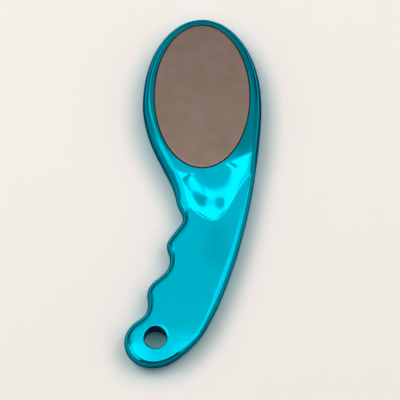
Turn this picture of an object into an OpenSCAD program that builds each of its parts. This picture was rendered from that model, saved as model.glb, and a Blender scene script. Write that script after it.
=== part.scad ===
// Double-sided foot file: a hollow paddle handle in two half shells, with an oval
// file plate bonded into a shallow recess on each face and a hang hole at the tip.
// It lies on its back plate. +X is right, +Y points to the head and +Z is up.
// The origin is on the rest plane, under the centre of the outline's box.

/* [File plates] */
// Length of the oval file plate
plate_l = 85.8; // [70:0.1:95]
// Width of the oval file plate
plate_w = 50.4; // [40:0.1:60]
// Thickness of the etched metal plate
plate_t = 0.6; // [0.4:0.1:1]
// Height of the plate's face over the rim around it
plate_proud = 0.3; // [0.1:0.05:0.5]
// Gap round a plate that sits in the middle of its recess
plate_gap = 0.75; // [0.4:0.05:1]
// Distance by which the plate sits nearer the grip than the middle of its recess
plate_drop = 0.3; // [0:0.05:0.3]
// Thickness of the adhesive pad under a plate
pad_t = 0.5; // [0.3:0.1:0.8]
// Gap between an adhesive pad and the wall of its recess
pad_gap = 0.15; // [0.05:0.05:1]

/* [Handle] */
// Distance from the centre of the head to the tip of the handle
reach = 149.5; // [130:0.5:170]
// Width of the rim from the recess to the widest point of the head
rim_w = 5.6; // [5:0.1:8]
// Height of the rim at the recess over the parting plane
head_half_t = 7.2; // [6.5:0.1:9]
// Height of the grip's face over the parting plane, where the neck ends
grip_half_t = 4.45; // [4.2:0.05:5.5]
// Height of the face over the parting plane at the tip
tip_half_t = 4.35; // [4:0.05:5]
// Length of the neck's slope, from the recess down to the grip
neck_l = 27; // [22:0.5:34]
// Width of the rounded side band along the grip, from the outline to the crease
edge_w = 3.6; // [3:0.1:4.2]

/* [Hang hole] */
// Bore of the hang hole
hang_d = 11.2; // [8:0.1:12]
// Chamfer at each mouth of the hang hole
hang_chamfer = 0.5; // [0.3:0.1:1]
// Wall of the tube around the hang hole
hang_wall = 1.8; // [1.2:0.1:3]

/* [Shells] */
// Wall of the shells
wall = 2; // [1.6:0.1:2.2]
// Wall under the recess of a plate
web_t = 1.8; // [1.4:0.1:2.2]
// Height of the locating lip on the front shell's rim
lip_h = 0.8; // [0.5:0.1:1.2]
// Running clearance of the lip and of the locating pins
fit_gap = 0.1; // [0.05:0.05:0.2]
// Diameter of a locating pin
pin_d = 3; // [2:0.1:3.6]
// Length of a locating pin below the parting plane
pin_l = 2; // [1.5:0.1:2.2]
// Wall of a locating socket
boss_wall = 1.4; // [1:0.1:2]
// Thickness of a stiffening rib
rib_t = 1.2; // [0.8:0.1:1.6]

/* [Hidden] */
$fn = 64;
overrun = 0.5;

// The land keeps the edge of the recess clear of the crown of the rim
recess_land = 0.3;
recess_depth = pad_t + plate_t - plate_proud;
recess_a = plate_w / 2 + plate_gap;
recess_b = plate_l / 2 + plate_gap;
rim_a = recess_a + recess_land;
rim_b = recess_b + recess_land;
head_a = rim_a + rim_w;
head_b = rim_b + rim_w;

// Finger side of the outline, from the head's widest point down to the hang end.
// Each point is [share of head_a across, share of reach down].
finger_side_shares = [
  [-1, 0], [-0.974, 0.08], [-0.87, 0.167], [-0.69, 0.254], [-0.496, 0.341],
  [-0.44, 0.381], [-0.4, 0.418], [-0.302, 0.467], [-0.415, 0.508],
  [-0.556, 0.552], [-0.561, 0.582], [-0.512, 0.619], [-0.578, 0.664],
  [-0.804, 0.706], [-0.873, 0.743], [-0.854, 0.78], [-0.902, 0.82],
  [-1.13, 0.859], [-1.219, 0.91], [-1.159, 0.96], [-0.989, 0.992]
];
// Back of the outline, over the same stretches
back_side_shares = [
  [1, 0], [0.958, 0.161], [0.857, 0.321],
  [0.785, 0.411], [0.684, 0.508], [0.562, 0.605], [0.411, 0.702],
  [0.236, 0.796], [0.024, 0.883],
  [-0.13, 0.923], [-0.3, 0.957], [-0.53, 0.989]
];
tip_shares = [-0.77, 1];
hang_shares = [-0.728, 0.904];

// Points on each side of the outline: crown of the head, cheek, grip and hang end.
// The steps below cut both sides into the same number of points per stretch.
crown_n = 9;
cheek_n = 12;
grip_n = 36;
hang_n = 20;
finger_steps = [for (i = [1:len(finger_side_shares)]) i <= 16 ? 3 : 4];
back_steps = [for (i = [1:len(back_side_shares)]) i <= 8 ? 6 : 5];
cheek_i = crown_n;
neck_i = cheek_i + cheek_n;
grip_end_i = neck_i + grip_n;
tip_i = grip_end_i + hang_n;

// Width of the side band along each side, as shares of edge_w
finger_edge_shares = [
  [0, 1.15], [cheek_i, 1.15], [neck_i, 1.35], [neck_i + 9, 1.2], [neck_i + 15, 1],
  [grip_end_i, 1], [grip_end_i + 8, 1.2], [tip_i - 4, 0.7], [tip_i, 0.35]
];
back_edge_shares = [
  [0, 1.15], [cheek_i, 1.15], [neck_i, 1.05], [grip_end_i - 9, 1],
  [grip_end_i, 0.5], [tip_i, 0.35]
];
// Angle at which the side band's arc ends: a right angle is smooth, less makes a crease
crease_angles = [[0, 90], [cheek_i, 88], [neck_i, 70], [neck_i + 6, 64], [tip_i, 64]];

// The neck falls at this angle from straight down, towards the back. Its slope starts
// at a line that touches the rim of the recess and bows up beside it, finger side only.
neck_turn = 21.8;
neck_fall = [sin(neck_turn), -cos(neck_turn)];
neck_start = norm([rim_a * neck_fall[0], rim_b * neck_fall[1]]);
neck_bow_share = 0.637;
neck_bow_start_share = 0.094;
// Length over which the slope sets in, and height over which it runs out into the grip
neck_ease = 0.5;
neck_blend = 0.25;
// The crown of the neck leans by this angle, and meets the recess this far across
neck_lean = 8;
neck_middle_share = 0.12;
// Share of the fall that is a straight slope, the rest being a growing one; and how much
// more the neck falls at the head's half width from its middle, steadily and at once
neck_slope_share = 0.46;
neck_crown_share = 4;
neck_shoulder_share = 0.45;
neck_shoulder_run_share = 0.07;

function catmull(p, i, t) =
  (2 * p[i] + t * (p[i + 1] - p[i - 1])
  + t * t * (2 * p[i - 1] - 5 * p[i] + 4 * p[i + 1] - p[i + 2])
  + t * t * t * (3 * p[i] - p[i - 1] - 3 * p[i + 1] + p[i + 2])) / 2;

// Curve through p[1] to the last point but one, with steps[i] points in each gap
function curve(p, steps) = [
  for (i = [1:len(p) - 3]) for (k = [0:steps[i - 1] - 1]) catmull(p, i, k / steps[i - 1])
];

function oval(a, b, angle) = [a * cos(angle), b * sin(angle)];
function placed(shares) = [for (s = shares) [s[0] * head_a, -s[1] * reach]];

tip = placed([tip_shares])[0];
hang = placed([hang_shares])[0];
finger_points = placed(finger_side_shares);
back_points = placed(back_side_shares);

// Both sides of the outline run from the top of the head to the point before the tip.
// The cheeks take their direction from the head's oval, this angle above the widest point.
cheek_lead = 25;
finger_side = concat(
  [for (i = [0:crown_n - 1]) oval(head_a, head_b, 90 + 90 * i / crown_n)],
  curve(concat([oval(head_a, head_b, 180 - cheek_lead)], finger_points,
    [tip, back_points[len(back_points) - 1]]), finger_steps)
);
back_side = concat(
  [for (i = [0:crown_n - 1]) oval(head_a, head_b, 90 - 90 * i / crown_n)],
  curve(concat([oval(head_a, head_b, cheek_lead)], back_points,
    [tip, finger_points[len(finger_points) - 1]]), back_steps)
);

// The closed outline goes down the finger side, round the tip and up the back
outline = concat(finger_side, [tip], [for (i = [tip_i - 1:-1:1]) back_side[i]]);
loop_n = len(outline);

function side_index(i) = i <= tip_i ? i : loop_n - i;
function unit(v) = v / norm(v);
inward = [for (i = [0:loop_n - 1])
  let (t = unit(outline[(i + 1) % loop_n] - outline[(i + loop_n - 1) % loop_n])) [-t[1], t[0]]];
band_w = [for (i = [0:loop_n - 1])
  edge_w * lookup(side_index(i), i <= tip_i ? finger_edge_shares : back_edge_shares)];
band_angle = [for (i = [0:loop_n - 1]) lookup(side_index(i), crease_angles)];

outline_x = [for (p = outline) p[0]];
outline_y = [for (p = outline) p[1]];
centre = [(max(outline_x) + min(outline_x)) / 2, (max(outline_y) + min(outline_y)) / 2];
mid_z = head_half_t + plate_proud;

// Inner line that the outline closes on: the rim of the recess, the spine of the
// grip, and the centre of the hang hole
neck_angle = 277;
function ease(t) = let (c = min(1, max(0, t))) c * c * (3 - 2 * c);
function middle(i) = (finger_side[i] + back_side[i]) / 2;
spine_lead = 8;
spine = [for (k = [0:grip_n]) middle(neck_i + k)
  + (oval(rim_a, rim_b, neck_angle) - middle(neck_i)) * (1 - ease(k / spine_lead))
  + (hang - middle(grip_end_i)) * ease((k - grip_n + spine_lead) / spine_lead)];
function rim_angle(s, neck_turn) =
  s <= cheek_i ? 90 * s / cheek_i : 90 + neck_turn * (s - cheek_i) / cheek_n;
function inner_point(i) = let (s = side_index(i))
  s >= grip_end_i ? spine[grip_n]
  : s >= neck_i ? spine[s - neck_i]
  : i <= tip_i ? oval(rim_a, rim_b, 90 + rim_angle(s, neck_angle - 180))
  : oval(rim_a, rim_b, 90 - rim_angle(s, 360 - neck_angle));
inner_line = [for (i = [0:loop_n - 1]) inner_point(i)];

// Height of the face over the parting plane: level round the recess, then down a convex
// crowned slope, then a slight taper along the grip, with the hollow between them rounded
neck_end = rim_b + neck_l;
function eased_run(past) =
  past <= 0 ? 0 : past < neck_ease ? past * past / (2 * neck_ease) : past - neck_ease / 2;
function face_z(p) =
  let (
    bow = min(0, p[0] / head_a - neck_bow_start_share),
    run = eased_run(neck_fall * p - neck_start + neck_bow_share * head_a * bow * bow) / neck_l,
    off = (p[0] * cos(neck_lean) + (p[1] + rim_b) * sin(neck_lean)) / head_a
      - neck_middle_share,
    shoulder = neck_shoulder_share * (1 - exp(-run / neck_shoulder_run_share)),
    fall = run * (neck_slope_share + (1 - neck_slope_share) * run)
      + (neck_crown_share * run + shoulder) * off * off,
    slope = head_half_t - (head_half_t - grip_half_t) * fall,
    along = min(1, max(0, (-p[1] - neck_end) / (reach - neck_end))),
    grip = grip_half_t + (tip_half_t - grip_half_t) * along,
    overlap = max(0, neck_blend - abs(slope - grip))
  ) max(slope, grip) + overlap * overlap / (4 * neck_blend);

// Height of the hollow over the parting plane
function core_z(p) = min(face_z(p) - wall, head_half_t - recess_depth - web_t);

// Rings of a shell, as one list of points each
band_cuts = 5;
core_cuts = 3;
function inset(i, d) = outline[i] + inward[i] * d;
function raised(p, z) = [p[0], p[1], z];
function band_ring(share) = [for (i = [0:loop_n - 1])
  let (
    a = band_angle[i] * share,
    p = inset(i, band_w[i] * (1 - cos(a)) / (1 - cos(band_angle[i])))
  ) raised(p, face_z(p) * sin(a) / sin(band_angle[i]))];
function face_ring(share) = [for (i = [0:loop_n - 1])
  let (p = inset(i, band_w[i]) * (1 - share) + inner_line[i] * share) raised(p, face_z(p))];
function rim_ring(step) = [for (i = [0:loop_n - 1]) raised(inset(i, step[0]), step[1])];
function core_w(i) = min(band_w[i] / 2, wall);
function core_ring(share, foot_z) = [for (i = [0:loop_n - 1])
  let (p = inset(i, wall + core_w(i) * (1 - cos(90 * share))))
  raised(p, foot_z + (core_z(p) - foot_z) * sin(90 * share))];
function ceiling_ring(share) = [for (i = [0:loop_n - 1])
  let (p = inset(i, wall + core_w(i)) * (1 - share) + inner_line[i] * share) raised(p, core_z(p))];

// A shell is one closed skin: face, side band, stepped rim, hollow
function shell_rings(rim_steps) = let (foot_z = rim_steps[len(rim_steps) - 1][1]) concat(
  [for (share = [1, 2 / 3, 1 / 3]) face_ring(share)],
  [for (k = [band_cuts:-1:0]) band_ring(k / band_cuts)],
  [for (step = rim_steps) rim_ring(step)],
  [for (k = [1:core_cuts]) core_ring(k / core_cuts, foot_z)],
  [for (share = [1 / 2, 1]) ceiling_ring(share)]
);

// On the first and last ring both sides share the points of the spine
function shared(i) = let (s = side_index(i % loop_n))
  s >= grip_end_i ? grip_end_i : s >= neck_i ? s : i % loop_n;
function quad(a, b, c, d) = [
  for (t = [[a, b, c], [a, c, d]]) if (t[0] != t[1] && t[1] != t[2] && t[2] != t[0]) t
];

module skin(rings) {
  last = len(rings) - 1;
  function at(k, i) = k * loop_n + (k == 0 || k == last ? shared(i) : i % loop_n);
  walls = [for (k = [0:last - 1], i = [0:loop_n - 1])
    each quad(at(k, i), at(k, i + 1), at(k + 1, i + 1), at(k + 1, i))];
  top = [for (s = [0:neck_i - 1])
    each quad(at(0, s), at(0, loop_n - s), at(0, loop_n - s - 1), at(0, s + 1))];
  floor = [for (s = [0:neck_i - 1])
    each quad(at(last, s), at(last, s + 1), at(last, loop_n - s - 1), at(last, loop_n - s))];
  polyhedron([for (r = rings, p = r) p], concat(walls, top, floor), convexity = 8);
}

// Locating pins of the front shell and sockets of the back shell: four in the head,
// as shares of the recess, and two on the spine of the grip
head_pin_shares = [[-0.45, 0.5], [0.45, 0.5], [0.45, -0.5], [-0.45, -0.5]];
grip_pin_shares = [0.33, 0.72];
head_pins = [for (s = head_pin_shares) [s[0] * recess_a, s[1] * recess_b]];
grip_pins = [for (s = grip_pin_shares) spine[round(s * grip_n)]];
socket_d = pin_d + 2 * fit_gap;
boss_d = socket_d + 2 * boss_wall;
hang_z = face_z(hang);

// Points around a plate, a pad or a recess
oval_n = 120;
module oval_slab(a, b, h) {
  linear_extrude(h) polygon([for (k = [1:oval_n]) oval(a, b, 360 * k / oval_n)]);
}

module post(p, foot_z, d) {
  translate([p[0], p[1], foot_z]) cylinder(d = d, h = core_z(p) + wall / 2 - foot_z);
}

// Stiffening rib between two posts, a fit gap short of the parting plane
module rib(p, q) {
  run = q - p;
  translate([p[0], p[1], fit_gap]) rotate(atan2(run[1], run[0])) translate([0, -rib_t / 2, 0])
    cube([norm(run), rib_t, min(core_z(p), core_z(q)) + wall / 2 - fit_gap]);
}

module inner_frame(foot_z) {
  for (k = [0:len(head_pins) - 1]) rib(head_pins[k], head_pins[(k + 1) % len(head_pins)]);
  rib(grip_pins[0], grip_pins[1]);
  rib(grip_pins[1], hang);
  for (p = concat(head_pins, grip_pins)) post(p, foot_z, boss_d);
  post(hang, 0, hang_d + 2 * hang_wall);
}

// Cuts that both shells share: the recess for the plate, and the hang hole
module face_cuts() {
  translate([0, 0, head_half_t - recess_depth])
    oval_slab(recess_a, recess_b, recess_depth + overrun);
  translate([hang[0], hang[1], -overrun]) cylinder(d = hang_d, h = hang_z + 2 * overrun);
  translate([hang[0], hang[1], hang_z - hang_chamfer])
    cylinder(d1 = hang_d, d2 = hang_d + 2 * (hang_chamfer + overrun), h = hang_chamfer + overrun);
}

module in_place() translate([-centre[0], -centre[1], mid_z]) children();

module front_shell() {
  color("darkturquoise") in_place() difference() {
    union() {
      skin(shell_rings([[wall / 2 + fit_gap, 0], [wall / 2 + fit_gap, -lip_h], [wall, -lip_h]]));
      inner_frame(0);
      for (p = concat(head_pins, grip_pins))
        translate([p[0], p[1], -pin_l]) cylinder(d = pin_d, h = pin_l + overrun);
    }
    face_cuts();
  }
}

module back_shell() {
  color("darkturquoise") in_place() mirror([0, 0, 1]) difference() {
    union() {
      skin(shell_rings([[wall / 2, 0], [wall / 2, lip_h + fit_gap], [wall, lip_h + fit_gap]]));
      inner_frame(fit_gap);
    }
    face_cuts();
    for (p = concat(head_pins, grip_pins))
      translate([p[0], p[1], -overrun]) cylinder(d = socket_d, h = pin_l + fit_gap + overrun);
  }
}

// Layers in the front recess, from its floor up
module adhesive_pad() {
  translate([0, 0, head_half_t - recess_depth])
    oval_slab(recess_a - pad_gap, recess_b - pad_gap, pad_t);
}

module file_plate() {
  translate([0, -plate_drop, head_half_t - recess_depth + pad_t])
    oval_slab(plate_w / 2, plate_l / 2, plate_t);
}

module front_file_plate() color("rosybrown") in_place() file_plate();
module back_file_plate() color("rosybrown") in_place() mirror([0, 0, 1]) file_plate();
module front_adhesive_pad() color("dimgray") in_place() adhesive_pad();
module back_adhesive_pad() color("dimgray") in_place() mirror([0, 0, 1]) adhesive_pad();

front_shell();
back_shell();
front_file_plate();
back_file_plate();
front_adhesive_pad();
back_adhesive_pad();
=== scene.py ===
import math

import bmesh
import bpy
import numpy as np
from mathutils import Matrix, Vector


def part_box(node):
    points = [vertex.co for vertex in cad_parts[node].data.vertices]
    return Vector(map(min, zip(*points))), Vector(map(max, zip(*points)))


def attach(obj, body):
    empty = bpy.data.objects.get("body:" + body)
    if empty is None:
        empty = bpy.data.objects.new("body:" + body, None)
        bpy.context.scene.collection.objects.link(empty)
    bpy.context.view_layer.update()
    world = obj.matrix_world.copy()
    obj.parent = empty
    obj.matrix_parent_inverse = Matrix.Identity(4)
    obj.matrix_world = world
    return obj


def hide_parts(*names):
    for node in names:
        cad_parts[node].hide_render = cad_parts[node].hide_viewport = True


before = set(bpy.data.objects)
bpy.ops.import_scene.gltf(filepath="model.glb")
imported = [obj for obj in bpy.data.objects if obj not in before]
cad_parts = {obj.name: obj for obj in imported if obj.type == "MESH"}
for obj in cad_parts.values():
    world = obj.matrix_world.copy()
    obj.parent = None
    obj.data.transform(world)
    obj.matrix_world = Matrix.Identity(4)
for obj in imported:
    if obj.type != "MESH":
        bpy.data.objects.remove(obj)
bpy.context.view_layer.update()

# Camera
# It looks down at the file from the hang end's side, with the head away from it.
# Nothing rolls or shifts: the picture's middle is a point on the parting plane.
# Lengths in this script are metres, and angles are degrees where radians() isn't named.
view_aim = (0.00234, -0.00865, 0.0075)
view_distance = 0.72645
view_tilt = math.radians(24.6)
view_angle = math.radians(16.3)
camera = bpy.data.objects.new("camera", bpy.data.cameras.new("camera"))
bpy.context.scene.collection.objects.link(camera)
bpy.context.scene.camera = camera
camera.data.angle = view_angle
camera.location = (
    view_aim[0],
    view_aim[1] - view_distance * math.sin(view_tilt),
    view_aim[2] + view_distance * math.cos(view_tilt),
)
camera.rotation_euler = (view_tilt, 0, 0)


# Handle shells
# Two moulded ABS halves, mirror images of each other, that meet on a plane half way up.
# They are vacuum metallised and dipped in clear aqua lacquer, then bonded rim to rim.
plate_lo, plate_hi = (np.array(corner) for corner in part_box("front_file_plate"))
plate_a, plate_b = (plate_hi - plate_lo)[:2] / 2
plate_t = plate_hi[2] - plate_lo[2]
plate_middle = (plate_lo + plate_hi) / 2
plate_gap = 0.00075
plate_drop = np.array([0, -0.0003, 0])
# The head's middle on the plane where the shells meet, which shapes are drawn about
parting = np.array([*plate_middle[:2], plate_hi[2] / 2]) - plate_drop
plate_proud = 0.0003
pad_t = 0.0005
land_w = 0.0003
recess_a = plate_a + plate_gap
recess_b = plate_b + plate_gap
recess_depth = pad_t + plate_t - plate_proud
recess_round = 0.00018
rim_a = recess_a + land_w
rim_b = recess_b + land_w
rim_w = 0.0056
head_a = rim_a + rim_w
head_b = rim_b + rim_w
reach = 0.1495
head_half_t = parting[2] - plate_proud
grip_half_t = 0.00445
tip_half_t = 0.00435
neck_l = 0.027
neck_turn = math.radians(21.8)
neck_fall = np.array([math.sin(neck_turn), -math.cos(neck_turn)])
neck_start = math.hypot(rim_a * neck_fall[0], rim_b * neck_fall[1])
neck_ease = 0.0005
neck_blend = 0.00025
neck_lean = math.radians(8)
edge_w = 0.0036
crease_round = 0.0005
face_cuts = 26
face_cut_power = 1.3
band_cuts = 16
shell_corner = math.radians(35)
wall = 0.002
web_t = 0.0018
hang_r = 0.0056
hang_wall = 0.0018
hang_round = 0.0006
seam_w = 0.0001
seam_depth = 0.00012
floor_rim_w = 0.002
same_point = 2e-6
no_length = 1e-7
haze_patch_w = 0.0167
peel_wave_w = 0.00455

# Outline points: across as a share of head_a, down as a share of reach
finger_side_shares = [
    [-1, 0], [-0.974, 0.08], [-0.87, 0.167], [-0.69, 0.254], [-0.496, 0.341],
    [-0.44, 0.381], [-0.4, 0.418], [-0.302, 0.467], [-0.415, 0.508],
    [-0.556, 0.552], [-0.561, 0.582], [-0.512, 0.619], [-0.578, 0.664],
    [-0.804, 0.706], [-0.873, 0.743], [-0.854, 0.78], [-0.902, 0.82],
    [-1.13, 0.859], [-1.219, 0.91], [-1.159, 0.96], [-0.989, 0.992],
]
back_side_shares = [
    [1, 0], [0.958, 0.161], [0.857, 0.321], [0.785, 0.411], [0.684, 0.508],
    [0.562, 0.605], [0.411, 0.702], [0.236, 0.796], [0.024, 0.883],
    [-0.13, 0.923], [-0.3, 0.957], [-0.53, 0.989],
]
tip_share = [-0.77, 1]
hang_share = [-0.728, 0.904]

# Stations down each side: crown, cheek, grip and hang end, each cut into a few parts
crown_n, cheek_n, grip_n, hang_n = 9, 12, 36, 20
finger_gap_stations = [3] * 16 + [4] * 5
back_gap_stations = [6] * 8 + [5] * 4
cheek_i = crown_n
neck_i = cheek_i + cheek_n
grip_end_i = neck_i + grip_n
tip_i = grip_end_i + hang_n
bore_lead = 8
bore_i = grip_end_i - bore_lead
parts = 4
evening_spread = 3
cheek_lead = 25
neck_angle = 277
bore_entry = 60
spine_lead = 8
finger_edge_shares = [
    [0, 1.15], [cheek_i, 1.15], [neck_i, 1.35], [neck_i + 9, 1.2], [neck_i + 15, 1],
    [grip_end_i, 1], [grip_end_i + 8, 1.2], [tip_i - 4, 0.7], [tip_i, 0.35],
]
back_edge_shares = [
    [0, 1.15], [cheek_i, 1.15], [neck_i, 1.05], [grip_end_i - 9, 1],
    [grip_end_i, 0.5], [tip_i, 0.35],
]
crease_angles = [[0, 90], [cheek_i, 88], [neck_i, 70], [neck_i + 6, 64], [tip_i, 64]]
neck_bow_share = 0.637
neck_bow_start_share = 0.094
neck_middle_share = 0.12
neck_slope_share = 0.46
neck_crown_share = 4
neck_shoulder_share = 0.45
neck_shoulder_run_share = 0.07


def oval(a, b, degrees):
    """An ellipse: a times the cosine across, b times the sine along."""
    turn = np.radians(degrees)
    return np.stack([a * np.cos(turn), b * np.sin(turn)], -1)


def placed(shares):
    """Shares of the head's half width and of the reach, turned to a place."""
    return np.array(shares) * [head_a, -reach]


def through(points, steps):
    """A cubic through all points but the first and last, with steps[i] parts in gap i.

    Its slope at a point is half the way from the point before to the point after.
    """
    gap = np.repeat(np.arange(len(steps)), steps)
    t = np.arange(len(gap)) - np.repeat(np.cumsum(steps) - steps, steps)
    t = (t / np.repeat(steps, steps))[:, None]
    a, b, c, d = (points[gap + k] for k in range(4))
    return (2 * b + t * (c - a) + t**2 * (2 * a - 5 * b + 4 * c - d)
            + t**3 * (3 * b - a - 3 * c + d)) / 2


def table(shares, at):
    """Straight lines between pairs of station and value, read at the stations given."""
    pairs = np.array(shares, float)
    return np.interp(at, pairs[:, 0], pairs[:, 1])


def evened(line, spread):
    """A closed line, each point averaged with those around it by a bell curve."""
    away = np.arange(-3 * spread, 3 * spread + 1)
    weight = np.exp(-0.5 * (away / spread) ** 2)
    return sum(w * np.roll(line, k, 0) for k, w in zip(away, weight)) / weight.sum()


def eased(t):
    """From 0 to 1 with level ends: three times the square less twice the cube."""
    t = np.clip(t, 0, 1)
    return t * t * (3 - 2 * t)


def face_z(xy):
    """Height of the face over the parting plane.

    It is level up to a line that touches the recess's rim and bows up on the finger side.
    Past it the fall grows with the way gone and with its square. The square of the place
    across is added, a part of it almost at once and the rest with the way. The grip below
    tapers in a straight line, and a parabola rounds the hollow where the two meet.
    """
    bow = np.minimum(0, xy[..., 0] / head_a - neck_bow_start_share)
    past = xy @ neck_fall - neck_start + neck_bow_share * head_a * bow**2
    run = (np.clip(past, 0, neck_ease) ** 2 / (2 * neck_ease)
           + np.maximum(0, past - neck_ease)) / neck_l
    off = (xy @ [math.cos(neck_lean), math.sin(neck_lean)]
           + rim_b * math.sin(neck_lean)) / head_a - neck_middle_share
    shoulder = neck_shoulder_share * (1 - np.exp(-run / neck_shoulder_run_share))
    fall = (run * (neck_slope_share + (1 - neck_slope_share) * run)
            + (neck_crown_share * run + shoulder) * off**2)
    slope = head_half_t - (head_half_t - grip_half_t) * fall
    neck_end = rim_b + neck_l
    along = np.clip((-xy[..., 1] - neck_end) / (reach - neck_end), 0, 1)
    grip = grip_half_t + (tip_half_t - grip_half_t) * along
    overlap = np.maximum(0, neck_blend - np.abs(slope - grip))
    return np.maximum(slope, grip) + overlap**2 / (4 * neck_blend)


def raised(xy, z):
    """Points of the plane given a height."""
    return np.concatenate([xy, np.broadcast_to(z, xy.shape[:-1])[..., None]], -1)


tip = placed(tip_share)
hang = placed(hang_share)
finger_points = placed(finger_side_shares)
back_points = placed(back_side_shares)
crown = np.arange(crown_n * parts) / parts * 90 / crown_n
finger_side = np.concatenate([
    oval(head_a, head_b, 90 + crown),
    through(np.array([oval(head_a, head_b, 180 - cheek_lead), *finger_points, tip,
                      back_points[-1]]), np.array(finger_gap_stations) * parts),
    [tip],
])
back_side = np.concatenate([
    oval(head_a, head_b, 90 - crown),
    through(np.array([oval(head_a, head_b, cheek_lead), *back_points, tip,
                      finger_points[-1]]), np.array(back_gap_stations) * parts),
    [tip],
])

# The loop runs down the finger side, round the tip and up the back
station = np.arange(tip_i * parts + 1) / parts
station = np.concatenate([station, station[-2:0:-1]])
on_finger = np.arange(len(station)) <= tip_i * parts
outline = evened(np.concatenate([finger_side, back_side[-2:0:-1]]), evening_spread)
onward = np.roll(outline, -1, 0) - np.roll(outline, 1, 0)
onward /= np.linalg.norm(onward, axis=1)[:, None]
inward = np.stack([-onward[:, 1], onward[:, 0]], -1)
band_w = edge_w * np.where(
    on_finger, table(finger_edge_shares, station), table(back_edge_shares, station))
band_angle = np.radians(table(crease_angles, station))[:, None]
crease = evened(outline + inward * band_w[:, None], evening_spread)

# The inner line is the recess's rim, then the spine of the grip, then the bore's mouth
spread_of_rim = np.where(
    station <= cheek_i, 90 * station / cheek_i,
    90 + (station - cheek_i) / cheek_n
    * np.where(on_finger, neck_angle - 180, 360 - neck_angle))
rim_angle = 90 + spread_of_rim * np.where(on_finger, 1, -1)
side_middle = (outline + np.roll(outline[::-1], 1, 0)) / 2
neck_point = oval(rim_a, rim_b, neck_angle)
bore_point = hang + oval(hang_r + hang_round, hang_r + hang_round, bore_entry)
neck_pull = 1 - eased((station - neck_i) / spine_lead)
bore_pull = eased((station - bore_i + spine_lead) / spine_lead)
at_neck = side_middle[np.searchsorted(station[on_finger], neck_i)]
at_bore = side_middle[np.searchsorted(station[on_finger], bore_i)]
spine = (side_middle + (neck_point - at_neck) * neck_pull[:, None]
         + (bore_point - at_bore) * bore_pull[:, None])
from_hang = crease - hang
sight = np.degrees(np.unwrap(np.arctan2(from_hang[:, 1], from_hang[:, 0])))
sight_start = sight[grip_end_i * parts]
sight_end = sight[-grip_end_i * parts]
bore_share = (station - bore_i) / (grip_end_i - bore_i)
bore_angle = np.where(
    station >= grip_end_i, sight,
    np.where(on_finger, bore_entry + (sight_start - bore_entry) * bore_share,
             bore_entry + 360 + (sight_end - bore_entry - 360) * bore_share))


def inner_line(rim_grow, bore_grow):
    """The line that the face closes on, its rim and its bore grown by the widths given."""
    mouth = hang + oval(hang_r + bore_grow, hang_r + bore_grow, bore_angle)
    rim = oval(rim_a + rim_grow, rim_b + rim_grow, rim_angle)
    line = np.where((station >= bore_i)[:, None], mouth, spine)
    return np.where((station <= neck_i)[:, None], rim, line)


def section_rings():
    """Rings of one half from the face's inner line out, round the rim and under the face.

    Face: straight from the inner line to the crease, at the face's height. Crease: the
    corner rounded by a parabola. Side band: an arc of the crease's angle, from level
    with the face down to the outline. Inside: the same path a wall's width further in.
    """
    inner = inner_line(0, hang_round)
    face_w = np.linalg.norm(inner - crease, axis=1)
    start = crease + (inner - crease) * (
        np.minimum(crease_round, face_w / 3) / face_w)[:, None]
    rings = []
    for share in np.linspace(1, 0, face_cuts) ** face_cut_power:
        xy = start + (inner - start) * share
        rings.append(raised(xy, face_z(xy)))
    face_edge = rings[-1]

    def band(share):
        turn = band_angle * share
        across = (1 - np.cos(turn)) / (1 - np.cos(band_angle))
        xy = outline + (crease - outline) * across
        return raised(xy, face_z(xy) * (np.sin(turn) / np.sin(band_angle))[:, 0])

    corner = band(1)
    below = 1 - crease_round / (band_w * band_angle[:, 0])
    foot = band(below[:, None])
    for t in (0.2, 0.4, 0.6, 0.8):
        rings.append((1 - t) ** 2 * face_edge + 2 * t * (1 - t) * corner + t * t * foot)
    lift = seam_w / (face_z(outline) / np.sin(band_angle)[:, 0])
    seam_share = lift / band_angle[:, 0]
    for share in np.linspace(1, 0, band_cuts):
        rings.append(band((seam_share + (below - seam_share) * share)[:, None]))
    rings.append(raised(outline + inward * seam_depth, 0))
    rings.append(raised(outline + inward * wall, 0))
    ceiling = head_half_t - recess_depth - web_t
    core_w = np.minimum(band_w / 2, wall)
    for share in (0.25, 0.5, 0.75, 1):
        turn = math.pi / 2 * share
        xy = outline + inward * (wall + core_w * (1 - math.cos(turn)))[:, None]
        rings.append(raised(xy, np.minimum(face_z(xy) - wall, ceiling) * math.sin(turn)))
    edge = rings[-1][:, :2]
    hidden = inner_line(0, hang_wall)
    for share in (0.33, 0.67, 1):
        xy = edge + (hidden - edge) * share
        rings.append(raised(xy, np.minimum(face_z(xy) - wall, ceiling)))
    return np.array(rings)


def grid_faces(rows, columns, first):
    """Four-cornered faces between neighbours of a grid that closes round its columns.

    The point in row i and column j has the number first + i times the columns + j.
    """
    row = np.arange(rows - 1)[:, None]
    column = np.arange(columns)[None, :]
    after = (column + 1) % columns
    corners = [row * columns + column, (row + 1) * columns + column,
               (row + 1) * columns + after, row * columns + after]
    return first + np.stack(np.broadcast_arrays(*corners), -1).reshape(-1, 4)


def span_faces(count, first):
    """Faces across a ring at the recess, from each side's point to the other's.

    The first, at the top of the head, is a triangle.
    """
    k = np.arange(1, neck_i * parts)
    across = np.stack([k, k + 1, count - k - 1, count - k], -1)
    return [[first, first + 1, first + count - 1], *(first + across).tolist()]


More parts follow.
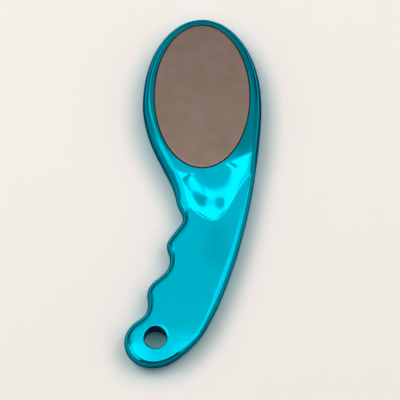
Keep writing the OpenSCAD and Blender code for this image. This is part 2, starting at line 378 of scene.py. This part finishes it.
def solid(name, grids, spans, mirrored, corner, standing=None):
    """One object from grids of points, each a stack of closed rings, and all closed.

    spans lists the grids whose last ring is covered across at the recess. standing is
    the points and faces of small closed shapes that stand on it. Equal points are
    merged, and edges sharper than the corner angle stay sharp.
    """
    points, faces, firsts = [], [], []
    for grid in grids:
        firsts.append(sum(len(p) for p in points))
        faces.extend(grid_faces(*grid.shape[:2], firsts[-1]).tolist())
        points.append(grid.reshape(-1, 3))
    for k in spans:
        rows, columns = grids[k].shape[:2]
        faces.extend(span_faces(columns, firsts[k] + (rows - 1) * columns))
    if standing:
        faces.extend((standing[1] + sum(len(p) for p in points)).tolist())
        points.append(standing[0])
    at = np.concatenate(points) * [1, 1, -1 if mirrored else 1] + parting
    mesh = bpy.data.meshes.new(name)
    mesh.from_pydata(at.tolist(), [], faces)
    shape = bmesh.new()
    shape.from_mesh(mesh)
    bmesh.ops.remove_doubles(shape, verts=shape.verts, dist=same_point)
    bmesh.ops.dissolve_degenerate(shape, edges=shape.edges, dist=no_length)
    bmesh.ops.recalc_face_normals(shape, faces=shape.faces)
    shape.to_mesh(mesh)
    shape.free()
    mesh.polygons.foreach_set("use_smooth", np.ones(len(mesh.polygons), bool))
    mesh.set_sharp_from_angle(angle=corner)
    piece = bpy.data.objects.new(name, mesh)
    bpy.context.scene.collection.objects.link(piece)
    return piece


def recess_cup():
    """The recess: its land, its rounded mouth, its wall and the start of its floor."""
    angle = rim_angle[station <= neck_i]
    rings = [raised(oval(rim_a, rim_b, angle), head_half_t)]
    for turn in np.linspace(0, math.pi / 2, 5):
        grow = recess_round * (1 - math.sin(turn))
        rings.append(raised(oval(recess_a + grow, recess_b + grow, angle),
                            head_half_t - recess_round * (1 - math.cos(turn))))
    floor_z = head_half_t - recess_depth
    for shrink in (0, floor_rim_w):
        rings.append(raised(oval(recess_a - shrink, recess_b - shrink, angle), floor_z))
    return np.array(rings)


def bore_tube():
    """The hang hole: its rounded mouth, its wall down to the seam, and its tube inside."""
    angle = bore_angle[station >= bore_i]
    rings = []
    for turn in np.linspace(0, math.pi / 2, 9):
        r = hang_r + hang_round * (1 - math.sin(turn))
        xy = hang + oval(r, r, angle)
        flat = hang + oval(hang_r + hang_round, hang_r + hang_round, angle)
        rings.append(raised(xy, face_z(flat) - hang_round * (1 - math.cos(turn))))
    top = rings[-1][:, 2]
    for share in (0.75, 0.5, 0.25, 0):
        rings.append(raised(rings[-1][:, :2], seam_w + (top - seam_w) * share))
    tube = hang_r + hang_wall
    for r in (hang_r + seam_depth, tube):
        rings.append(raised(hang + oval(r, r, angle), 0))
    xy = hang + oval(tube, tube, angle)
    rings.append(raised(xy, np.minimum(face_z(xy) - wall, head_half_t - recess_depth - web_t)))
    return np.array(rings)


def linear(code):
    """A colour written as sRGB hex, turned to linear values."""
    s = np.array([int(code[k:k + 2], 16) for k in (1, 3, 5)]) / 255
    return (*np.where(s <= 0.04045, s / 12.92, ((s + 0.055) / 1.055) ** 2.4).tolist(), 1)


def add(tree, kind, inputs=None, **settings):
    """A node in a tree, its settings, and for each input a value or an output to link."""
    node = tree.nodes.new("ShaderNode" + kind)
    for name, value in settings.items():
        setattr(node, name, value)
    for key, value in (inputs or {}).items():
        if isinstance(value, bpy.types.NodeSocket):
            tree.links.new(value, node.inputs[key])
        else:
            node.inputs[key].default_value = value
    return node


def metallised_lacquer():
    """Aluminium flashed on ABS under aqua lacquer: a coloured mirror.

    The base colour is painted darker from the two faces over the side band down to the
    steep sides, as painted shade. The moulding's slight orange peel bends what it mirrors,
    and handling has dulled it a little in broad patches.
    """
    material = bpy.data.materials.new("metallised_aqua_lacquer")
    material.use_nodes = True
    tree = material.node_tree
    tree.nodes.clear()
    place = add(tree, "TexCoord").outputs["Object"]
    haze = add(tree, "TexNoise", {"Vector": place, "Scale": 1 / haze_patch_w,
                                  "Detail": 3.0})
    rough = add(tree, "MapRange", {"Value": haze.outputs["Fac"], "From Min": 0.35,
                                   "From Max": 0.65, "To Min": 0.05, "To Max": 0.07})
    peel = add(tree, "TexNoise", {"Vector": place, "Scale": 1 / peel_wave_w,
                                  "Detail": 1.0})
    bump = add(tree, "Bump", {"Height": peel.outputs["Fac"], "Strength": 0.02,
                              "Distance": 0.0005})
    # Painted shade: the colour goes from #00D0EC on level faces to #00788A on steep sides.
    facing = add(tree, "SeparateXYZ", {0: add(tree, "NewGeometry").outputs["Normal"]})
    level = add(tree, "Math", {0: facing.outputs["Z"]}, operation="ABSOLUTE")
    painted_side_shade = add(tree, "MapRange", {"Value": level.outputs[0], "From Min": 0.45,
                                  "From Max": 0.95}, interpolation_type="SMOOTHSTEP")
    tone = add(tree, "MixRGB", {"Fac": painted_side_shade.outputs[0], "Color1": linear("#00788A"),
                                "Color2": linear("#00D0EC")})
    shader = add(tree, "BsdfPrincipled", {
        "Base Color": tone.outputs[0], "Metallic": 1.0, "Roughness": rough.outputs[0],
        "Specular Tint": linear("#00708A"), "Normal": bump.outputs[0]})
    add(tree, "OutputMaterial", {"Surface": shader.outputs[0]})
    return material


shell_grids = [section_rings(), recess_cup(), bore_tube()]
shell_lacquer = metallised_lacquer()
for shell_name, mirrored in (("front_shell", False), ("back_shell", True)):
    shell = solid("smooth_" + shell_name, shell_grids, (0, 1), mirrored, shell_corner)
    shell.data.materials.append(shell_lacquer)
    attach(shell, "root")
    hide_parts(shell_name)


# Adhesive pads
# Thin ovals of acrylic foam, sticky on both sides, that hold the plates in the recesses.
# They keep their plain shape, and only an edge of them shows in the gap round a plate.
foam_cell_w = 0.0005


def acrylic_foam():
    """Black acrylic foam tape: matt, with fine closed cells about half a millimetre wide. Its
    black partly stands for the shade deep in the gap round a plate, as painted shade.
    """
    material = bpy.data.materials.new("acrylic_foam")
    material.use_nodes = True
    tree = material.node_tree
    tree.nodes.clear()
    place = add(tree, "TexCoord").outputs["Object"]
    cells = add(tree, "TexVoronoi", {"Vector": place, "Scale": 1 / foam_cell_w})
    # Near black, partly as painted shade in the gap round a plate.
    tone = add(tree, "MixRGB", {"Fac": cells.outputs["Distance"],
                                "Color1": linear("#121314"), "Color2": linear("#26282A")})
    bump = add(tree, "Bump", {"Height": cells.outputs["Distance"], "Strength": 0.3,
                              "Distance": 0.0001})
    shader = add(tree, "BsdfPrincipled", {"Base Color": tone.outputs[0], "Roughness": 0.9,
                                          "Normal": bump.outputs[0]})
    add(tree, "OutputMaterial", {"Surface": shader.outputs[0]})
    return material


foam = acrylic_foam()
for pad_name in ("front_adhesive_pad", "back_adhesive_pad"):
    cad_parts[pad_name].data.materials.clear()
    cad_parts[pad_name].data.materials.append(foam)


# File plates
# Ovals blanked from stainless sheet, with rows of small teeth etched up out of the face.
# The front one is fine and the back one coarse; both are bonded in, a little proud.
plate_edge_round = 0.00015
fine_teeth = {"pitch": 0.0009, "width": 0.00042, "height": 0.00009}
coarse_teeth = {"pitch": 0.0013, "width": 0.00066, "height": 0.00014}
toothless_rim = 0.0009
tooth_sides = 5
tooth_sink = 0.00002
plate_sides = 240
plate_corner = math.radians(30)
mottle_w = 0.0111
pit_share = 0.625


def blank(top):
    """An oval sheet: rings of an ellipse from the middle, round the edge and back under."""
    angle = np.linspace(0, 360, plate_sides, endpoint=False)
    bottom = plate_proud + head_half_t - plate_t
    rings = []
    for share in (0, 0.2, 0.4, 0.6, 0.8, 0.95):
        rings.append(raised(oval(plate_a * share, plate_b * share, angle), top))
    for turn in np.linspace(0, math.pi / 2, 5):
        shrink = plate_edge_round * (1 - math.sin(turn))
        rings.append(raised(oval(plate_a - shrink, plate_b - shrink, angle),
                            top - plate_edge_round * (1 - math.cos(turn))))
    for share in (1, 0.6, 0):
        rings.append(raised(oval(plate_a * share, plate_b * share, angle), bottom))
    return np.array(rings)


def tooth_field(teeth, top):
    """Low five-sided points on a triangular grid, every second row moved half a pitch.

    Each stands on a ring sunk a hair under the face, and all keep clear of the rim.
    """
    pitch, row_gap = teeth["pitch"], teeth["pitch"] * math.sqrt(3) / 2
    rows = int(plate_b / row_gap) + 1
    columns = int(plate_a / pitch) + 1
    row, column = np.meshgrid(np.arange(-rows, rows + 1), np.arange(-columns, columns + 1),
                              indexing="ij")
    middle = np.stack([(column + row % 2 / 2) * pitch, row * row_gap], -1).reshape(-1, 2)
    a, b = plate_a - toothless_rim, plate_b - toothless_rim
    middle = middle[np.hypot(middle[:, 0] / a, middle[:, 1] / b) < 1]
    turn = np.linspace(0, 360, tooth_sides, endpoint=False)
    ring = middle[:, None] + oval(teeth["width"] / 2, teeth["width"] / 2, turn + 90)
    foot = raised(ring, top - tooth_sink)
    point = raised(middle, top + teeth["height"])
    corners = np.concatenate([foot, point[:, None]], 1)
    k = np.arange(tooth_sides)
    side = np.stack([k, (k + 1) % tooth_sides, np.full(tooth_sides, tooth_sides)], -1)
    under = np.stack([0 * k, k + 1, k], -1)[1:-1]
    faces = np.concatenate([side, under])[None] + (
        np.arange(len(middle)) * (tooth_sides + 1))[:, None, None]
    return corners.reshape(-1, 3), faces.reshape(-1, 3)


def etched_steel(name, teeth, light, dark):
    """Stainless steel etched to a matt finish: a warm grey metal that scatters what it mirrors.

    The etch leaves it slightly mottled, and its pits lie closer together than the teeth.
    """
    material = bpy.data.materials.new(name)
    material.use_nodes = True
    tree = material.node_tree
    tree.nodes.clear()
    place = add(tree, "TexCoord").outputs["Object"]
    mottle = add(tree, "TexNoise", {"Vector": place, "Scale": 1 / mottle_w, "Detail": 4.0,
                                    "Roughness": 0.65})
    spread = add(tree, "MapRange", {"Value": mottle.outputs["Fac"], "From Min": 0.3,
                                    "From Max": 0.7})
    tone = add(tree, "MixRGB", {"Fac": spread.outputs[0], "Color1": linear(dark),
                                "Color2": linear(light)})
    pits = add(tree, "TexVoronoi", {"Vector": place,
                                    "Scale": 1 / (pit_share * teeth["pitch"])})
    bump = add(tree, "Bump", {"Height": pits.outputs["Distance"], "Strength": 0.35,
                              "Distance": 0.00008})
    shader = add(tree, "BsdfPrincipled", {"Base Color": tone.outputs[0], "Metallic": 1.0,
                                          "Roughness": 0.5, "Normal": bump.outputs[0]})
    add(tree, "OutputMaterial", {"Surface": shader.outputs[0]})
    return material


for plate_name, slot, teeth, light, dark, mirrored in (
        ("front_file_plate", "fine_plate", fine_teeth, "#B9A194", "#AD9587", False),
        ("back_file_plate", "coarse_plate", coarse_teeth, "#B79C8E", "#A68D7E", True)):
    face_top = head_half_t + plate_proud - teeth["height"]
    points, faces = tooth_field(teeth, face_top)
    plate = solid("toothed_" + plate_name, [blank(face_top) + plate_drop], (), mirrored,
                  plate_corner, (points + plate_drop, faces))
    plate.data.materials.append(etched_steel("etched_steel_" + slot, teeth, light, dark))
    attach(plate, "root")
    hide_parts(plate_name)


# Table
# A pale, matt laminate top, on which the file lies on its back plate. Its far edge fades
# into the pale room, so that no horizon shows.
table_half = 1.2
table_fade = (0.5, 1.15)
table_white = "#EFE9E4"
# Painted shadow beside the file, tinted teal as painted light from its sides, and its reach
table_painted_shade = "#6CC4CE"
table_painted_shade_reach = 0.014


def matt_table():
    """Warm white laminate: matt, and fading out with the distance from the middle.

    Close beside the file, where it hides the sky, the table is painted a darker teal:
    painted shadow, tinted as painted light that the shiny sides would throw down.
    """
    material = bpy.data.materials.new("matt_table")
    material.use_nodes = True
    tree = material.node_tree
    tree.nodes.clear()
    place = add(tree, "TexCoord").outputs["Object"]
    away = add(tree, "VectorMath", {0: place}, operation="LENGTH")
    fade = add(tree, "MapRange", {"Value": away.outputs["Value"], "From Min": table_fade[0],
                                  "From Max": table_fade[1]}, interpolation_type="SMOOTHSTEP")
    # Painted shade: where the file hides the sky, the table turns darker teal.
    painted_shade_mask = add(tree, "AmbientOcclusion", {"Distance": table_painted_shade_reach}, samples=8)
    tone = add(tree, "MixRGB", {"Fac": painted_shade_mask.outputs["AO"], "Color1": linear(table_painted_shade),
                                "Color2": linear(table_white)})
    matt = add(tree, "BsdfDiffuse", {"Color": tone.outputs[0]})
    clear = add(tree, "BsdfTransparent")
    mixed = add(tree, "MixShader", {"Fac": fade.outputs[0], 1: matt.outputs[0],
                                    2: clear.outputs[0]})
    add(tree, "OutputMaterial", {"Surface": mixed.outputs[0]})
    return material


def flat_sheet(name, corners, material):
    """A four-cornered sheet for the table or a light, which is staged and no part of the file."""
    mesh = bpy.data.meshes.new(name)
    mesh.from_pydata(corners, [], [(0, 1, 2, 3)])
    mesh.materials.append(material)
    sheet = bpy.data.objects.new(name, mesh)
    bpy.context.scene.collection.objects.link(sheet)
    return sheet


table_corners = [(x * table_half, y * table_half, 0)
                 for x, y in ((-1, -1), (1, -1), (1, 1), (-1, 1))]
flat_sheet("table", table_corners, matt_table())


# Room
# Pale below the horizon, as the table is, and dim above: darkest ahead along the horizon,
# a little lighter behind the camera, and brightest high up ahead on the window's side.
room_pale = 0.85
room_ahead = 0.32
room_horizon = 0.06
room_behind = 0.12
room_window = 2.3
room_rise = (0.25, 0.75)
room_window_side = (-0.15, -0.4)
room_front = (-0.6, 0.1)
room_skirt = (-0.01, 0.01)
room = bpy.data.worlds.new("room")
bpy.context.scene.world = room
room.use_nodes = True
tree = room.node_tree
tree.nodes.clear()
way = add(tree, "SeparateXYZ", {0: add(tree, "TexCoord").outputs["Generated"]})
rise = add(tree, "MapRange", {"Value": way.outputs["Z"], "From Min": room_rise[0],
                              "From Max": room_rise[1], "To Min": room_horizon,
                              "To Max": room_ahead}, interpolation_type="SMOOTHSTEP")
window = add(tree, "MapRange", {"Value": way.outputs["X"], "From Min": room_window_side[0],
                                "From Max": room_window_side[1], "To Min": 1.0,
                                "To Max": room_window})
bright = add(tree, "Math", {0: rise.outputs[0], 1: window.outputs[0]}, operation="MULTIPLY")
above = add(tree, "MapRange", {"Value": way.outputs["Y"], "From Min": room_front[0],
                               "From Max": room_front[1], "To Min": room_behind,
                               "To Max": bright.outputs[0]})
level = add(tree, "MapRange", {"Value": way.outputs["Z"], "From Min": room_skirt[0],
                               "From Max": room_skirt[1], "To Min": room_pale,
                               "To Max": above.outputs[0]})
glow = add(tree, "Background", {"Color": linear("#F6F2EE"), "Strength": level.outputs[0]})
add(tree, "OutputWorld", {"Surface": glow.outputs[0]})


# Lights
# A wide diffuser overhead, a soft panel on each side, and two fills that only the matt
# surfaces feel. Steps of brightness in the diffuser give the metal its patches.
panel_base = 0.12


def lit_panel(name, middle, across, along, patches):
    """A flat light: its middle plus and minus two half spans, as bright as its patches say.

    A patch is a shape, its middle and its half sizes in metres along the two spans, its
    turn in degrees, the share of its half sizes by which its edge fades either way, and
    its level. The patches are laid over each other in turn, on the panel's dim base.
    """
    material = bpy.data.materials.new(name)
    material.use_nodes = True
    tree = material.node_tree
    tree.nodes.clear()
    m, u, v = np.array(middle), np.array(across), np.array(along)
    place = add(tree, "VectorMath", {0: add(tree, "TexCoord").outputs["Object"], 1: middle},
                operation="SUBTRACT")
    ways = [add(tree, "VectorMath", {0: place.outputs[0], 1: (w / np.linalg.norm(w)).tolist()},
                operation="DOT_PRODUCT").outputs["Value"] for w in (u, v)]
    on_panel = add(tree, "CombineXYZ", {0: ways[0], 1: ways[1]})
    level = panel_base
    for shape, centre, halves, turn, fade, patch_level in patches:
        own = add(tree, "Mapping", {"Vector": on_panel.outputs[0], "Location": (*centre, 0),
                                    "Rotation": (0, 0, math.radians(turn)),
                                    "Scale": (*halves, 1)}, vector_type="TEXTURE")
        if shape == "oval":
            away = add(tree, "VectorMath", {0: own.outputs[0]}, operation="LENGTH")
            away = away.outputs["Value"]
        else:
            sides = add(tree, "VectorMath", {0: own.outputs[0]}, operation="ABSOLUTE")
            sides = add(tree, "SeparateXYZ", {0: sides.outputs[0]})
            away = add(tree, "Math", {0: sides.outputs[0], 1: sides.outputs[1]},
                       operation="MAXIMUM").outputs[0]
        level = add(tree, "MapRange", {
            "Value": away, "From Min": 1 - fade, "From Max": 1 + fade,
            "To Min": patch_level, "To Max": level}, interpolation_type="SMOOTHSTEP").outputs[0]
    glow = add(tree, "Emission", {"Strength": level})
    add(tree, "OutputMaterial", {"Surface": glow.outputs[0]})
    panel = flat_sheet(name, [tuple(p) for p in (m - u - v, m + u - v, m + u + v, m - u + v)],
                       material)
    panel.visible_camera = False
    return panel


# The diffuser is dim at its border, even within, and brightest towards the camera. The
# small ovals are softer spots in it, which the neck and the grip mirror.
lit_panel("overhead_panel", (0, 0.22, 1.2), (1.5, 0, 0), (0, 0.68, 0), [
    ("box", (0, -0.04), (1.4, 0.6), 0, 0.12, 0.3),
    ("box", (0, -0.069), (1.4, 0.451), 0, 0.03, 0.69),
    ("box", (-0.95, 0.5), (0.5, 0.14), 0, 0.15, 0.8),
    ("oval", (0.026, 0.236), (0.016, 0.032), 0, 0.6, 0.54),
    ("box", (1.05, -0.22), (0.42, 0.42), 0, 0.1, 1),
    ("box", (-1.05, -0.25), (0.4, 0.35), 0, 0.08, 0.95),
    ("box", (0.02, -0.238), (0.63, 0.332), 0, 0.06, 1.47),
    ("oval", (-0.05, 0.075), (0.024, 0.026), 0, 0.7, 0.88),
    ("oval", (-0.145, -0.023), (0.15, 0.036), 18, 0.22, 0.5),
    ("oval", (0.242, 0.018), (0.14, 0.034), 2, 0.22, 0.62),
    ("oval", (0.05, 0.005), (0.12, 0.018), 9, 0.22, 1.1)])
lit_panel("left_panel", (-1.45, -0.55, 0.85), (0, 1.15, 0), (0, 0, 0.83), [
    ("box", (0, 0), (1.12, 0.81), 0, 0.03, 0.3),
    ("box", (-0.15, 0), (0.9, 0.81), 0, 0.1, 0.5),
    ("box", (-0.2, 0.4), (0.95, 0.7), 0, 0.2, 1.1)])
lit_panel("right_panel", (1.45, -0.25, 0.6), (0, 1.15, 0), (0, 0, 0.58), [
    ("box", (0, 0), (1.12, 0.56), 0, 0.03, 0.25),
    ("box", (-0.1, 0), (0.8, 0.56), 0, 0.12, 0.45),
    ("box", (0.3, 0.26), (0.5, 0.34), 0, 0.3, 1.05),
    ("box", (-0.7, 0.16), (0.42, 0.42), 0, 0.2, 1.5)])
left_fill = lit_panel("left_fill", (-0.62, 0.25, 1), (0.26, 0, 0.15), (0, 0.4, 0),
                      [("box", (0, 0), (0.29, 0.385), 0, 0.03, 4.6)])
right_fill = lit_panel("right_fill", (0.62, 0.25, 1), (0.26, 0, -0.15), (0, 0.4, 0),
                       [("box", (0, 0), (0.29, 0.385), 0, 0.03, 3.3)])
left_fill.visible_glossy = False
right_fill.visible_glossy = False

bpy.context.scene.view_settings.view_transform = "Standard"
